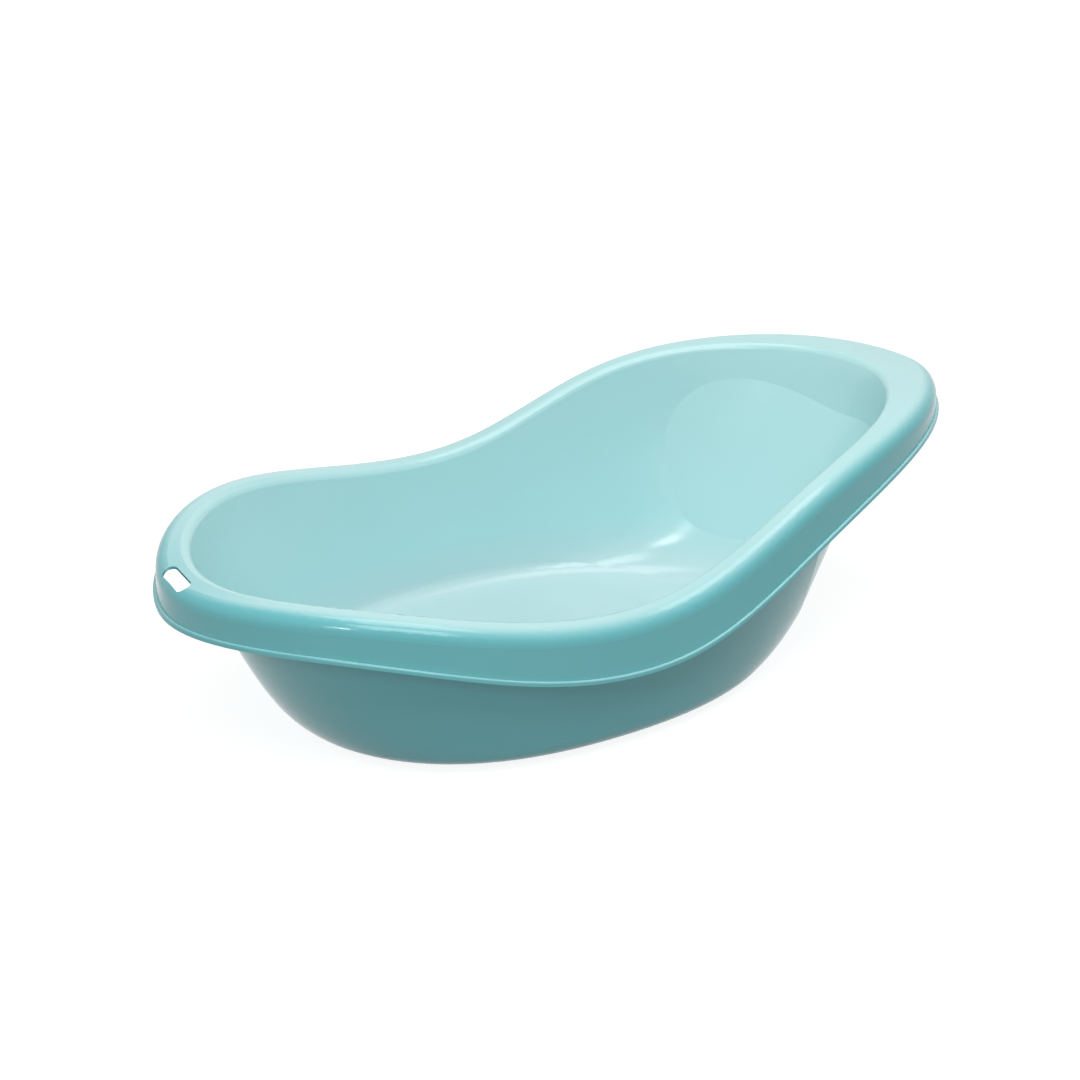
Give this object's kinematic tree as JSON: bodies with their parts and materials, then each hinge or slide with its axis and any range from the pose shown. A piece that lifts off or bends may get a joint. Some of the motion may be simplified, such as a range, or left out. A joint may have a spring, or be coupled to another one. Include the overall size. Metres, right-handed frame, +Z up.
{
  "type": "baby bathtub",
  "caption": "Free-standing moulded baby bathtub with a raised backrest end, rolled rim, hanging slot and a lift-out drain plug.",
  "frame": {"origin": "centre of the footprint on the ground, at the underside of the feet", "axes": "+X towards the raised backrest end, +Y towards the side away from the usual viewer, +Z up"},
  "size_m": [0.9089, 0.5112, 0.276],
  "materials": {
    "tub_plastic": "glossy injection-moulded polypropylene, aqua",
    "drain_plastic": "satin moulded plastic, off-white",
    "seal_rubber": "matt flat gasket",
    "plug_rubber": "satin soft stopper, off-white",
    "ring_steel": "polished wire",
    "pad_rubber": "matt grey anti-slip rubber"
  },
  "bodies": {
    "tub": {"tub_shell": "tub_plastic", "drain_seat": "drain_plastic", "drain_seal": "seal_rubber", "drain_nut": "drain_plastic", "pad_head_near": "pad_rubber", "pad_head_far": "pad_rubber", "pad_foot_near": "pad_rubber", "pad_foot_far": "pad_rubber"},
    "plug": {"drain_plug": "plug_rubber"},
    "ring": {"plug_ring": "ring_steel"}
  },
  "joints": [
    {"name": "plug_lift", "type": "slide", "parent": "tub", "child": "plug", "axis": [0, 0, 1], "range_m": [0, 0.06]},
    {"name": "ring_tilt", "type": "hinge", "parent": "plug", "child": "ring", "pos_m": [-0.215, 0, 0.0168], "axis": [0, 1, 0], "range_deg": [0, 170]}
  ]
}
